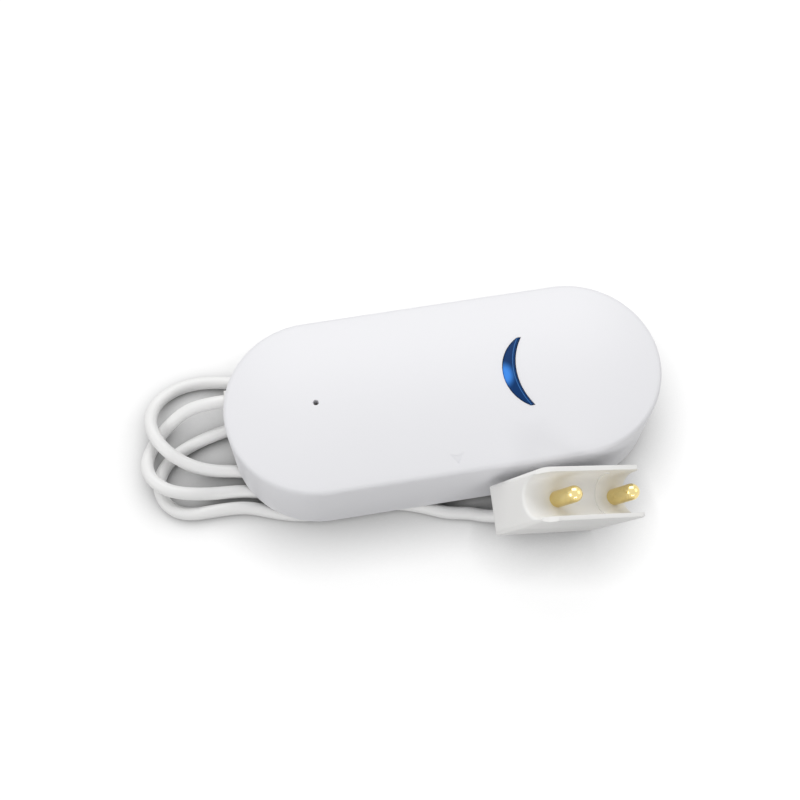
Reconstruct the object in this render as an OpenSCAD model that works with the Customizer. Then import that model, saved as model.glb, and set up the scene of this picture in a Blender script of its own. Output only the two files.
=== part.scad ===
// Water leak sensor: a pill-shaped battery case with a probe on a wound cord.
// Millimetres, +Z up. The origin is the centre of the foot that the case stands on,
// +X runs along the case towards the crescent light and +Y towards its plain long side.

/* [Case] */
// How much longer the case is than one cell
end_room = 31.5; // [30:0.5:36]
// Width of the case, also the diameter of its round ends
case_w = 31.8; // [31.5:0.1:33]
// Height of the cover's side, from its rim to the crease
side_h = 15.2; // [15.2:0.2:17]
// Rise of the crowned top above the crease
crown_h = 2; // [1.6:0.1:2.4]
// Radius of the crease between side and top
crease_r = 1; // [0.6:0.1:1.4]
// How far the rim is drawn in from the crease
rim_draft = 0.6; // [0.2:0.1:0.8]
// Thickness of the cover's side
cover_t = 1.6; // [1.2:0.1:1.7]
// Thickness of the cover's top
top_t = 1.8; // [1.4:0.1:1.9]
// Thickness of the base plate
base_t = 1.2; // [1:0.1:1.3]
// Thickness of the base's flange that the cover sits on
flange_t = 0.8; // [0.6:0.1:0.9]
// Gap all round between cover and base
cover_gap = 0.15; // [0.1:0.05:0.25]
// Height of the foot that the cord is wound round
foot_h = 2.8; // [2.8:0.1:3.4]
// Width of the foot
foot_w = 12; // [10:0.5:12]
// Length of the foot
foot_l = 52; // [48:1:54]

/* [Light and reset] */
// Outer radius of the crescent lens
moon_r = 7.3; // [6.8:0.1:7.6]
// Greatest width of the crescent
moon_t = 2.2; // [2:0.1:2.6]
// Distance from the case's centre to the crescent's outer edge
moon_x = 10.3; // [9.5:0.1:11]
// Height of the lens above the crown
moon_rise = 0.25; // [0.1:0.05:0.4]
// Gap round the lens
moon_gap = 0.12; // [0.08:0.02:0.16]
// Diameter of the pinhole over the reset switch
pinhole_d = 1; // [0.8:0.1:1.4]
// Diameter of the reset plunger
plunger_d = 2.2; // [1.8:0.1:2.6]
// Travel of the reset plunger
plunger_travel = 0.25; // [0.2:0.05:0.3]
// Running clearance round the plunger
plunger_gap = 0.05; // [0.03:0.01:0.08]
// Depth of the pressed arrow mark
arrow_depth = 0.25; // [0.1:0.05:0.3]

/* [Power and board] */
// Diameter of an AAA cell
cell_d = 10.5; // [10:0.1:10.6]
// Length of an AAA cell with its button
cell_l = 44.5; // [44:0.1:44.6]
// Gap between the two cells
cell_gap = 0.7; // [0.4:0.1:0.9]
// Room for each contact spring
spring_l = 5.5; // [4.5:0.1:5.7]
// Thickness of the circuit board
board_t = 1; // [0.8:0.1:1]
// Distance from the circuit board's long edge to the case's side
board_side = 3.4; // [3:0.1:3.8]
// Board left beyond the end posts' holes
board_margin = 1.4; // [1.2:0.1:1.6]
// Diameter of a board post
post_d = 3; // [2.6:0.1:3]
// Diameter of a board screw
screw_d = 1.6; // [1.4:0.1:1.8]
// Room between the battery bay and the posts on the gland's side
post_room = 1; // [0.9:0.05:1.1]
// Length of the radio module
radio_l = 18; // [16:0.5:20]
// Width of the radio module
radio_w = 16; // [14:0.5:17]
// Diameter of the bulk capacitor
bulk_d = 6; // [5:0.5:6]
// Height of the bulk capacitor
bulk_h = 8; // [7:0.5:9]

/* [Probe] */
// Length of the probe block
probe_l = 21.5; // [20.5:0.5:23]
// Width of the probe block at its back
probe_w = 8.4; // [8.4:0.1:8.6]
// How much wider the block is at its ridges
probe_flare = 0.8; // [0.6:0.1:0.9]
// Height of the probe block, from its back to its ridges
probe_h = 15.5; // [15:0.5:17]
// Rounding of the probe's edges
probe_r = 1.2; // [0.8:0.1:1.4]
// Fuller rounding of the ridges at the boot's end
brow_r = 3; // [2:0.5:4]
// Radius of the gutter's round floor
gutter_r = 3.6; // [3.3:0.05:3.65]
// Rounding of the gutter's edge at the boot's end
gutter_lip = 0.6; // [0.3:0.1:0.8]
// Depth of the gutter
gutter_d = 5.8; // [5.4:0.1:6.2]
// Diameter of a contact pin
pin_d = 2.9; // [2.2:0.1:3]
// Distance from the probe's end to the contact pin on the boot's side
pin_edge_left = 6.9; // [6.5:0.1:7.4]
// Distance from the probe's other end to the other pin
pin_edge_right = 2.1; // [2.1:0.1:3]
// Distance from the probe's end to the middle of its boot
boot_edge = 6.8; // [6.6:0.1:6.9]
// How far a pin's tip stands past the ridges
pin_proud = 0.5; // [0:0.1:1]
// Wall of the probe round its hollow back
probe_t = 1.3; // [1.1:0.1:1.5]
// Tilt of the probe about its length as it lies
probe_roll = 12; // [11:0.5:13]
// Tilt of the probe along its length as it lies
probe_pitch = 30; // [29:0.5:31]
// Turn of the probe away from the case's length as it lies
probe_yaw = 4; // [3:0.5:4.5]

/* [Cord] */
// Diameter of the cord
cord_d = 2.3; // [2.1:0.1:2.3]
// Clear space kept between neighbouring strands
cord_space = 0.6; // [0.5:0.05:0.65]
// Clearance of the cord in its sleeves
cord_gap = 0.05; // [0.03:0.01:0.08]
// Outer diameter of the rubber gland
gland_d = 3.8; // [3.6:0.1:4.2]

/* [Hidden] */
$fn = 64;
EPS = 0.01;

// Levels and outlines of the case
case_l = cell_l + end_room;
half_w = case_w / 2;
run = case_l / 2 - half_w;
rim_z = foot_h + flange_t;
crease_z = rim_z + side_h;
top_z = crease_z + crown_h;
dome_r = (half_w * half_w + crown_h * crown_h) / (2 * crown_h);
dome_z = top_z - dome_r;
rim_r = half_w - rim_draft;
crease_x = half_w - crease_r;
crease_cz = dome_z + sqrt(pow(dome_r - crease_r, 2) - pow(crease_x, 2));
crease_a = atan2(crease_cz - dome_z, crease_x);
inner_r = half_w - cover_t;
inner_dome_r = dome_r - top_t;
inner_a = acos(inner_r / inner_dome_r);
base_r = rim_r - cover_t - cover_gap;
floor_z = foot_h + base_t;
lip_h = 3;
lip_t = 1.2;

// Cells, contacts and board
cell_r = cell_d / 2;
cell_y = (cell_d + cell_gap) / 2;
cell_z = floor_z + 0.1 + cell_r;
button_l = 0.8;
button_d = 3.6;
bay_l = cell_l + spring_l;
bay_x0 = -bay_l / 2 - 1.6;
bay_x1 = bay_x0 + bay_l;
plate_t = 0.4;
wall_t = 1;
board_z = cell_z + cell_r + 0.3;
board_top = board_z + board_t;
bay_left = bay_x0 - plate_t - wall_t;
bay_right = bay_x1 + plate_t + wall_t;
post_left = bay_left - post_room - post_d / 2;
post_right = bay_right + post_room + bulk_d / 2 + 0.6;
post_y_left = 1.5 * post_d;
post_y_right = bulk_d / 2 + post_d;
post_places = [
    [post_left, -post_y_left], [post_left, post_y_left],
    [post_right, -post_y_right], [post_right, post_y_right]
];
board_w = case_w - 2 * board_side;
board_run = board_margin - post_left - sqrt(board_w * board_w / 4 - post_y_left * post_y_left);
screw_l = 4;
plug_l = 3.8;
plug_w = 5.2;
plug_h = 5;
wire_r = 0.36;
plug_x = bay_left - 0.4 - plug_l / 2;
contact_h = 8;
radio_x = -board_run + 4.5;
radio_t = 0.8;
can_t = 1.3;
can_edge = 1;
chip_l = 5;
chip_w = 6;
chip_x = board_run - 2.5;

// Reset switch under the pinhole
switch_w = 4.5;
switch_h = 1.6;
switch_lid_t = 0.4;
flange_d = plunger_d + 0.7;
flange_h = 0.3;
plunger_up = 0.8;

// Pressed arrow mark: its tip points at the front edge
arrow_w = 2.4;
arrow_l = 1.7;
arrow_notch = 0.35;
arrow_edge = 1.7;

// Crescent: two circles whose edges meet at the horns
horn_y = 0.92 * moon_r;
horn_x = moon_x + moon_r - sqrt(moon_r * moon_r - horn_y * horn_y);
inner_depth = horn_x - moon_x - moon_t;
moon_inner_r = (horn_y * horn_y + inner_depth * inner_depth) / (2 * inner_depth);
lens_low = board_top + 1.4;
lens_flange = 0.7;

// Cord gland in the left end, on the side away from the arrow mark
gland_y = 9;
gland_z = rim_z + gland_d / 2;
gland_x = -run - sqrt(half_w * half_w - gland_y * gland_y);
gland_out = 2.4;
gland_in = bay_left - 2.6 - gland_x;
notch_r = gland_d / 2 + cover_gap;

// Place of the probe: it lies on its back in front of the case, propped on its own boot
probe_x = 13.9;
probe_y = -half_w - 4.3;
probe_top_w = probe_w + probe_flare;
cavity_d = probe_h - gutter_d - 1.6;
cap_t = 1.5;
boot_x = boot_edge - probe_l / 2;
boot_l = 3.5;
boot_d = 4.4;
boot_tip_d = 3.4;
pin_left = pin_edge_left - probe_l / 2;
pin_right = probe_l / 2 - pin_edge_right;
tail_d = 1.2;
// A pin's head stands in the gutter's floor, and its tail passes through the seal under it
pin_foot = probe_h - gutter_d - 0.8;
seal_z = cap_t + 3;
// Low rib across the gutter, between the pins
rib_x = 4.6;
rib_w = 1;
rib_h = 0.15;

function rot_x(p, a) = [p[0], p[1] * cos(a) - p[2] * sin(a), p[1] * sin(a) + p[2] * cos(a)];
function rot_y(p, a) = [p[0] * cos(a) + p[2] * sin(a), p[1], p[2] * cos(a) - p[0] * sin(a)];
function rot_z(p, a) = [p[0] * cos(a) - p[1] * sin(a), p[0] * sin(a) + p[1] * cos(a), p[2]];
function probe_turn(p) = rot_z(rot_y(rot_x(p, probe_roll), probe_pitch), probe_yaw);
// The lowest point of the probe's rounded corner rests on the floor
function corner_point(a) =
    [probe_l / 2 - probe_r * (1 - cos(a)),
        max(probe_r * (1 - sin(a)) - probe_top_w / 2, -probe_w / 2),
        probe_r * (1 - sin(a))];
low_corner = min([for (a = [0:5:90]) probe_turn(corner_point(a))[2]]);
probe_z = 0.03 - low_corner;
function probe_point(p) = probe_turn(p) + [probe_x, probe_y, probe_z];

// Cord: lanes wound round the foot, loops beyond the left end and the lead to the probe
cord_r = cord_d / 2;
low = cord_r + 0.15;
high = low + cord_d + cord_space + 0.1;
function lane(i) = foot_w / 2 + 0.35 + cord_r + i * (cord_d + cord_space);
foot_run = foot_l / 2 - foot_w / 2;
function beyond(points) = [for (p = points) [p[0] - run, p[1], p[2]]];
function right_end(r) = [for (a = [-90:30:90]) [foot_run + r * cos(a), r * sin(a), low]];
function along(y, xs) = [for (x = xs) [x, y, low]];
straight_xs = [-14, -4.5, 5, 14];
back_xs = [14, 5, -4.5, -14];
loop_top = beyond([
    [-22.2, 8.9, 4.4], [-26, 7.4, 2.3], [-28.9, 4.8, low + 0.1], [-30.6, 1.6, 2.2], [-30.8, -1.3, 3.5],
    [-29.6, -3.9, 4.3], [-27.2, -5.8, high], [-23.8, -6.6, 3.4], [-19.6, -6.7, 1.9], [-15.2, -6.8, low],
    [-10.8, -7.8, low], [-6.5, -9.3, low], [-2, -10.3, low]
]);
loop_back = beyond([
    [-1.5, 10.9, low], [-8.5, 12.7, low], [-14.5, 14.2, low], [-19.8, 15, low], [-24.4, 14.3, low],
    [-27.9, 11.9, 1.9], [-29.3, 8.3, 3.4], [-28.7, 4.6, high + 0.1], [-26.6, 1.3, high],
    [-23.3, -1.1, 3], [-19.2, -2.4, 1.7], [-14.6, -3.1, low], [-9.4, -4.7, low], [-4, -6.7, low]
]);
loop_front = beyond([
    [-3, 7.1, low], [-9.8, 6, low], [-16.3, 5, low], [-21.4, 3.7, low], [-25.6, 1.8, low],
    [-28.4, -0.9, low], [-29.3, -3.9, low], [-28.6, -6.8, low], [-26.5, -8.9, low], [-23.6, -9.7, low],
    [-20, -9.7, low], [-14.4, -10, low], [-9, -12, low], [-3, -13.3, low]
]);
lead = [
    [-14, -lane(2), low], [-9.8, -lane(2) - 0.4, low], [-5.6, -lane(2) - 1.8, low],
    [-1.9, -lane(2) - 3.4, low]
];
// From the boot the cord bends down on to the floor in one arc
boot_way = probe_turn([0, 0, -1]);
boot_slope = asin(-boot_way[2]);
boot_flat = unit([boot_way[0], boot_way[1], 0]);
boot_mouth = probe_point([boot_x, 0, -boot_l - 0.8]);
prop_r = (boot_mouth[2] - low) / (1 - cos(boot_slope));
function prop_point(f) = boot_mouth + prop_r * ((sin(boot_slope) - sin(f * boot_slope)) * boot_flat
    + [0, 0, cos(boot_slope) - cos(f * boot_slope)]);
prop_arc = concat([prop_point(0) + 2 * boot_flat], [for (f = [0, 1 / 3, 2 / 3]) prop_point(f)]);
gland_points = [for (d = [gland_in, 0.4, -gland_out, -gland_out - cord_d]) [gland_x + d, gland_y, gland_z]];
probe_points = [for (d = [-boot_l - 0.8, -1.5, cap_t]) probe_point([boot_x, 0, d])];
cord_route = concat(
    gland_points, loop_top, along(-lane(1), straight_xs), right_end(lane(1)), along(lane(1), back_xs),
    loop_back, along(-lane(0), straight_xs), right_end(lane(0)), along(lane(0), back_xs),
    loop_front, lead, prop_arc, probe_points
);

// Curve through points, and a tube swept along it
function unit(v) = v / norm(v);
function spline(a, b, c, d, t) =
    0.5 * (2 * b + (c - a) * t + (2 * a - 5 * b + 4 * c - d) * t * t + (3 * b - a - 3 * c + d) * t * t * t);
function curve(p, steps) = concat(
    [for (i = [0:len(p) - 2], k = [0:steps - 1])
        spline(p[max(i - 1, 0)], p[i], p[i + 1], p[min(i + 2, len(p) - 1)], k / steps)],
    [p[len(p) - 1]]
);
function tangent(p, i) = unit(p[min(i + 1, len(p) - 1)] - p[max(i - 1, 0)]);
function side_of(t) = unit(cross(t, abs(t[2]) > 0.95 ? [1, 0, 0] : [0, 0, 1]));
function ring(p, i, r, sides) =
    let (t = tangent(p, i), s = side_of(t), u = cross(s, t))
    [for (k = [0:sides - 1]) p[i] + r * (cos(360 * k / sides) * s + sin(360 * k / sides) * u)];
function length_of(p) = [
    for (i = 0, s = 0; i < len(p); s = s + (i < len(p) - 1 ? norm(p[i + 1] - p[i]) : 0), i = i + 1) s
];
function self_gap(p, s, d) = min([for (i = [0:len(p) - 1], j = [i + 1:1:len(p) - 1])
    if (s[j] - s[i] > 4 * d) norm(p[i] - p[j])]) - d;

module tube(p, r, sides) {
    n = len(p);
    points = concat([for (i = [0:n - 1]) each ring(p, i, r, sides)], [p[0], p[n - 1]]);
    sides_faces = [for (i = [0:n - 2], k = [0:sides - 1])
        let (a = i * sides + k, b = i * sides + (k + 1) % sides)
        each [[a, b, b + sides], [a, b + sides, a + sides]]];
    start_faces = [for (k = [0:sides - 1]) [n * sides, (k + 1) % sides, k]];
    end_faces = [for (k = [0:sides - 1])
        [n * sides + 1, (n - 1) * sides + k, (n - 1) * sides + (k + 1) % sides]];
    polyhedron(points, concat(sides_faces, start_faces, end_faces));
}

function arc(cx, cy, r, a0, a1, n) =
    [for (i = [0:n]) let (a = a0 + (a1 - a0) * i / n) [cx + r * cos(a), cy + r * sin(a)]];
function outer_profile(lift) = concat(
    [[0, rim_z]],
    [[rim_r, rim_z]],
    arc(crease_x, crease_cz + lift, crease_r, 0, crease_a, 6),
    [for (i = [1:10]) let (a = crease_a + (90 - crease_a) * i / 10)
        [dome_r * cos(a), dome_z + lift + dome_r * sin(a)]]
);
inner_profile = concat(
    [[0, rim_z - 1], [rim_r - cover_t, rim_z - 1], [rim_r - cover_t, rim_z]],
    arc(0, dome_z, inner_dome_r, inner_a, 90, 10)
);

// A half outline turned round both ends and drawn along the middle
module pill(points, half_run) {
    for (s = [0, 1])
        mirror([s, 0, 0])
            translate([half_run, 0, 0])
                rotate([0, 0, -90])
                    rotate_extrude(angle = 180)
                        polygon(points);
    rotate([90, 0, 90])
        translate([0, 0, -half_run])
            linear_extrude(2 * half_run) {
                polygon(points);
                mirror([1, 0])
                    polygon(points);
            }
}

module stadium(r, half_run, h) {
    for (s = [-1, 1])
        translate([s * half_run, 0, 0])
            cylinder(r = r, h = h);
    translate([-half_run, -r, 0])
        cube([2 * half_run, 2 * r, h]);
}

module block(x0, x1, y0, y1, z0, z1) {
    translate([x0, y0, z0])
        cube([x1 - x0, y1 - y0, z1 - z0]);
}

module bar_x(x0, x1, y, z, r) {
    translate([x0, y, z])
        rotate([0, 90, 0])
            cylinder(r = r, h = x1 - x0);
}

module moon(grow) {
    intersection() {
        difference() {
            translate([moon_x + moon_r, 0])
                circle(r = moon_r + grow);
            translate([moon_x + moon_t + moon_inner_r, 0])
                circle(r = moon_inner_r - grow);
        }
        translate([moon_x - 2, -horn_y + 0.45 - grow])
            square([moon_r + 2, 2 * horn_y - 0.9 + 2 * grow]);
    }
}

// Base: plate, foot, lip, battery bay and board posts
module base_shell() {
    color([0.9, 0.9, 0.9]) {
        difference() {
            union() {
                stadium(foot_w / 2, foot_run, foot_h + EPS);
                translate([0, 0, foot_h])
                    stadium(base_r, run, base_t);
                translate([0, 0, foot_h])
                    stadium(rim_r, run, flange_t);
                difference() {
                    translate([0, 0, foot_h])
                        stadium(base_r, run, base_t + lip_h);
                    translate([0, 0, foot_h - 1])
                        stadium(base_r - lip_t, run, base_t + lip_h + 2);
                }
                bay_walls();
                for (p = post_places)
                    translate([p[0], p[1], floor_z - EPS])
                        cylinder(d = post_d, h = board_z - floor_z + EPS);
            }
            for (p = post_places)
                translate([p[0], p[1], board_z - 5])
                    cylinder(d = screw_d, h = 6);
            bar_x(gland_x - 4, gland_x + gland_in + 2, gland_y, gland_z, gland_d / 2);
            block(gland_x - 4, gland_x + gland_in + 2, gland_y - gland_d / 2, gland_y + gland_d / 2,
                gland_z, floor_z + lip_h + 1);
        }
    }
}

module bay_walls() {
    side = cell_y + cell_r + 0.25;
    for (s = [-1, 1])
        block(bay_left, bay_right, s > 0 ? side : -side - wall_t,
            s > 0 ? side + wall_t : -side, floor_z - EPS, cell_z);
    for (x = [bay_left, bay_right - wall_t])
        block(x, x + wall_t, -side, side, floor_z - EPS, cell_z + 3);
    difference() {
        for (x = [bay_x0 + 0.28 * bay_l, bay_x0 + 0.68 * bay_l])
            block(x, x + 2 * wall_t, -side, side, floor_z - EPS, cell_z - 3 * wall_t);
        for (s = [-1, 1])
            bar_x(bay_x0, bay_x1, s * cell_y, cell_z, cell_r);
    }
}

// Rubber gland that holds the cord in the notch of the cover and the cradle of the base
module cord_gland() {
    color([0.86, 0.86, 0.85])
        difference() {
            bar_x(gland_x - gland_out, gland_x + gland_in, gland_y, gland_z, gland_d / 2);
            bar_x(gland_x - gland_out - 1, gland_x + gland_in + 1, gland_y, gland_z, cord_r + cord_gap);
        }
}

module cell(x0) {
    bar_x(x0, x0 + cell_l - button_l, 0, 0, cell_r);
    bar_x(x0 + cell_l - button_l - EPS, x0 + cell_l, 0, 0, button_d / 2);
}

module battery_front() {
    color([0.25, 0.35, 0.42])
        translate([0, -cell_y, cell_z])
            cell(bay_x1 - cell_l);
}

module battery_rear() {
    color([0.25, 0.35, 0.42])
        translate([0, cell_y, cell_z])
            mirror([1, 0, 0])
                cell(-bay_x0 - cell_l);
}

module contact_bridge() {
    color([0.75, 0.74, 0.7])
        block(bay_x0 - plate_t, bay_x0, -cell_y - contact_h / 2, cell_y + contact_h / 2,
            cell_z - contact_h / 2, cell_z + contact_h / 2);
}

module contact_plate() {
    color([0.75, 0.74, 0.7])
        for (s = [-1, 1])
            block(bay_x1, bay_x1 + plate_t, s * cell_y - contact_h / 2, s * cell_y + contact_h / 2,
                cell_z - contact_h / 2, cell_z + contact_h / 2);
}

// Conical battery spring: its wide end lies on the contact, its narrow end on the cell
module battery_spring() {
    wire = 0.3;
    turns = 4;
    points = [for (i = [0:16 * turns])
        let (f = i / (16 * turns), r = 3.4 - 1.2 * f, a = 22.5 * i)
        [wire + (spring_l - 2 * wire) * f, r * cos(a), r * sin(a)]];
    tube(points, wire, 6);
}

module spring_front() {
    color([0.78, 0.77, 0.73])
        translate([bay_x0, -cell_y, cell_z])
            battery_spring();
}

module spring_rear() {
    color([0.78, 0.77, 0.73])
        translate([bay_x1, cell_y, cell_z])
            mirror([1, 0, 0])
                battery_spring();
}

module main_board() {
    color([0.1, 0.35, 0.2])
        difference() {
            translate([0, 0, board_z])
                stadium(board_w / 2, board_run, board_t);
            for (p = post_places)
                translate([p[0], p[1], board_z - 1])
                    cylinder(d = screw_d + 0.2, h = board_t + 2);
        }
}

module board_screws() {
    color([0.7, 0.7, 0.7])
        for (p = post_places)
            translate([p[0], p[1], 0]) {
                translate([0, 0, board_z - screw_l])
                    cylinder(d = screw_d, h = screw_l + board_t + EPS);
                translate([0, 0, board_top])
                    cylinder(d = screw_d + 1.2, h = 0.7);
            }
}

// Radio module: its own small board with a screening can
module wifi_module() {
    color([0.15, 0.25, 0.45])
        block(radio_x, radio_x + radio_l, -radio_w / 2, radio_w / 2, board_top, board_top + radio_t);
    color([0.8, 0.8, 0.8])
        block(radio_x + can_edge, radio_x + 0.72 * radio_l, 1.5 * can_edge - radio_w / 2,
            radio_w / 2 - 1.5 * can_edge, board_top + radio_t, board_top + radio_t + can_t);
}

module board_parts() {
    color([0.12, 0.12, 0.12]) {
        block(chip_x, chip_x + chip_l, -chip_w / 2, chip_w / 2, board_top, board_top + 1);
        block(chip_x + 1.3 * chip_l, chip_x + 1.9 * chip_l, -chip_w / 4, chip_w / 4,
            board_top, board_top + 1.2);
        for (y = [-chip_w - 1, 1 - chip_w, chip_w - 1, chip_w + 1])
            block(chip_x + 1, chip_x + 2.2, y - 0.4, y + 0.4, board_top, board_top + 0.6);
    }
}

module bulk_capacitor() {
    color([0.2, 0.2, 0.25])
        translate([bay_right + 0.6 + bulk_d / 2, 0, board_z - bulk_h])
            cylinder(d = bulk_d, h = bulk_h);
}

module status_led() {
    color([0.95, 0.95, 0.9])
        block(moon_x + 0.2, moon_x + 2.2, -1.6, 1.6, board_top, board_top + 0.8);
}

module reset_switch() {
    color([0.2, 0.2, 0.2])
        difference() {
            block(-run - switch_w / 2, -run + switch_w / 2, -switch_w / 2, switch_w / 2,
                board_top, board_top + switch_h);
            translate([-run, 0, board_top + 0.4])
                cylinder(d = flange_d + 2 * plunger_gap, h = switch_h - 0.4 - switch_lid_t);
            translate([-run, 0, board_top + 0.4])
                cylinder(d = plunger_d + 2 * plunger_gap, h = switch_h);
        }
}

module reset_plunger() {
    color([0.85, 0.83, 0.75])
        translate([-run, 0, board_top + switch_h - switch_lid_t]) {
            translate([0, 0, -flange_h - 0.02])
                cylinder(d = flange_d, h = flange_h);
            translate([0, 0, -0.1])
                cylinder(d = plunger_d, h = switch_lid_t + plunger_up + 0.1);
        }
}

module cord_connector() {
    color([0.92, 0.9, 0.84])
        block(plug_x - plug_l / 2, plug_x + plug_l / 2, -plug_w / 2, plug_w / 2, board_z - plug_h, board_z);
}

// The cord's two inner wires, from the gland up to the connector
module lead_wires() {
    x0 = gland_x + gland_in + 0.2;
    way = bay_left - post_room / 2;
    color([0.7, 0.1, 0.1])
        tube(curve([
            [x0, gland_y - 0.5, gland_z],
            [x0 + 0.7, gland_y - 0.5, gland_z],
            [way, gland_y - 1.9, gland_z + 0.3],
            [way, post_y_left + 0.1, gland_z + 0.9],
            [way - 0.1, 2.4, gland_z + 1.6],
            [plug_x + 0.7, 0.8, board_z - plug_h - 1.4],
            [plug_x + 0.7, 0.8, board_z - plug_h - 0.2]
        ], 3), wire_r, 8);
    color([0.1, 0.1, 0.1])
        tube(curve([
            [x0, gland_y + 0.5, gland_z],
            [x0 + 0.9, gland_y + 0.5, gland_z],
            [way, gland_y - 0.9, gland_z + 1.4],
            [way, post_y_left + 0.1, gland_z + 2.2],
            [way - 1, 2.1, gland_z + 2.6],
            [plug_x - 0.7, 0.8, board_z - plug_h - 1.4],
            [plug_x - 0.7, 0.8, board_z - plug_h - 0.2]
        ], 3), wire_r, 8);
}

// Cover: a deep crowned cap with the pinhole, the crescent opening and the arrow mark
module front_cover() {
    color([0.95, 0.95, 0.95])
        difference() {
            pill(outer_profile(0), run);
            pill(inner_profile, run);
            translate([-run, 0, top_z - 4])
                cylinder(d = pinhole_d, h = 6);
            translate([0, 0, top_z - 6])
                linear_extrude(8)
                    moon(moon_gap);
            bar_x(gland_x - 4, gland_x + 6, gland_y, gland_z, notch_r);
            block(gland_x - 4, gland_x + 6, gland_y - notch_r, gland_y + notch_r, rim_z - 1, gland_z);
            arrow_cut();
        }
}

// The arrow's floor starts at the surface at its tail and sinks towards its tip
function crown_z(y) = dome_z + sqrt(dome_r * dome_r - y * y);
module arrow_cut() {
    tip_y = arrow_edge - half_w;
    tail_y = tip_y + arrow_l;
    fall = crown_z(tail_y) - crown_z(tip_y) + arrow_depth;
    translate([0, tail_y, crown_z(tail_y) - 0.03])
        rotate([atan(fall / arrow_l), 0, 0])
            linear_extrude(2)
                polygon([
                    [-arrow_w / 2, 0], [0, -arrow_notch], [arrow_w / 2, 0], [0, -norm([fall, arrow_l])]
                ]);
}

// Crescent lens: a light guide that follows the crown, with a flange under the cover's top
module crescent_lens() {
    color([0.08, 0.25, 0.6]) {
        intersection() {
            translate([0, 0, lens_low])
                linear_extrude(top_z)
                    moon(0);
            pill(outer_profile(moon_rise), run);
        }
        intersection() {
            translate([0, 0, lens_low])
                linear_extrude(8)
                    moon(lens_flange);
            pill(inner_profile, run);
        }
    }
}

module probe_place() {
    translate([probe_x, probe_y, probe_z])
        rotate([probe_roll, probe_pitch, probe_yaw])
            children();
}

module rounded_rect(w, h, r) {
    for (x = [r, w - r], y = [r, h - r])
        translate([x, y])
            circle(r = r);
    translate([r, 0])
        square([w - 2 * r, h]);
    translate([0, r])
        square([w, h - 2 * r]);
}

module probe_block() {
    intersection() {
        translate([-probe_l / 2, -probe_top_w / 2, 0])
            linear_extrude(probe_h)
                rounded_rect(probe_l, probe_top_w, probe_r);
        translate([-probe_l / 2, probe_top_w / 2, 0])
            rotate([90, 0, 0])
                linear_extrude(probe_top_w)
                    difference() {
                        rounded_rect(probe_l, probe_h, probe_r);
                        translate([0, probe_h - brow_r])
                            difference() {
                                translate([-1, 0])
                                    square(brow_r + 1);
                                translate([brow_r, 0])
                                    circle(r = brow_r);
                            }
                    }
        translate([-probe_l / 2, 0, 0])
            rotate([90, 0, 90])
                linear_extrude(probe_l)
                    intersection() {
                        translate([-probe_top_w / 2, 0])
                            rounded_rect(probe_top_w, probe_h, 0.3);
                        polygon([
                            [-probe_w / 2, 0], [probe_w / 2, 0],
                            [probe_top_w / 2, probe_h], [-probe_top_w / 2, probe_h]
                        ]);
                    }
    }
}

module probe_shell() {
    axis_z = probe_h - gutter_d + gutter_r;
    color([0.96, 0.95, 0.93])
        probe_place()
            difference() {
                probe_block();
                bar_x(-probe_l, probe_l, 0, axis_z, gutter_r);
                translate([-probe_l / 2, 0, axis_z])
                    rotate([0, 90, 0])
                        rotate_extrude()
                            difference() {
                                translate([0, -1])
                                    square([gutter_r + gutter_lip, gutter_lip + 1]);
                                translate([gutter_r + gutter_lip - 0.02, gutter_lip])
                                    circle(r = gutter_lip);
                            }
                rotate([90, 0, 90])
                    translate([0, 0, -probe_l])
                        linear_extrude(2 * probe_l)
                            polygon([
                                [-gutter_r, axis_z], [gutter_r, axis_z],
                                [gutter_r + 0.2, probe_h + 1], [-gutter_r - 0.2, probe_h + 1]
                            ]);
                block(probe_t - probe_l / 2, probe_l / 2 - probe_t, probe_t - probe_w / 2,
                    probe_w / 2 - probe_t, -1, cavity_d);
                for (x = [pin_left, pin_right])
                    translate([x, 0, 0]) {
                        translate([0, 0, pin_foot])
                            cylinder(d = pin_d, h = gutter_d);
                        translate([0, 0, cavity_d - 1])
                            cylinder(d = tail_d, h = gutter_d);
                    }
            }
    color([0.96, 0.95, 0.93])
        probe_place()
            intersection() {
                difference() {
                    bar_x(rib_x, rib_x + rib_w, 0, axis_z, gutter_r + 0.2);
                    bar_x(rib_x - 1, rib_x + rib_w + 1, 0, axis_z, gutter_r - rib_h);
                }
                block(rib_x - 1, rib_x + rib_w + 1, -probe_w, probe_w, 0, axis_z);
            }
}

module probe_cap() {
    color([0.93, 0.92, 0.9])
        probe_place()
            difference() {
                block(probe_t - probe_l / 2, probe_l / 2 - probe_t, probe_t - probe_w / 2,
                    probe_w / 2 - probe_t, 0, cap_t);
                translate([boot_x, 0, -1])
                    cylinder(d = boot_d, h = cap_t + 2);
            }
}

// Sealing resin round the pins' roots
module probe_seal() {
    color([0.3, 0.28, 0.25])
        probe_place()
            difference() {
                block(probe_t - probe_l / 2, probe_l / 2 - probe_t, probe_t - probe_w / 2,
                    probe_w / 2 - probe_t, seal_z, cavity_d);
                for (x = [pin_left, pin_right])
                    translate([x, 0, 0])
                        cylinder(d = tail_d, h = cavity_d + 1);
            }
}

module probe_boot() {
    color([0.9, 0.9, 0.88])
        probe_place()
            translate([boot_x, 0, 0])
                difference() {
                    union() {
                        translate([0, 0, -boot_l])
                            cylinder(d1 = boot_tip_d, d2 = boot_d, h = boot_l);
                        cylinder(d = boot_d, h = cap_t);
                    }
                    translate([0, 0, -boot_l - 1])
                        cylinder(r = cord_r + cord_gap, h = boot_l + cap_t + 2);
                }
}

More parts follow.
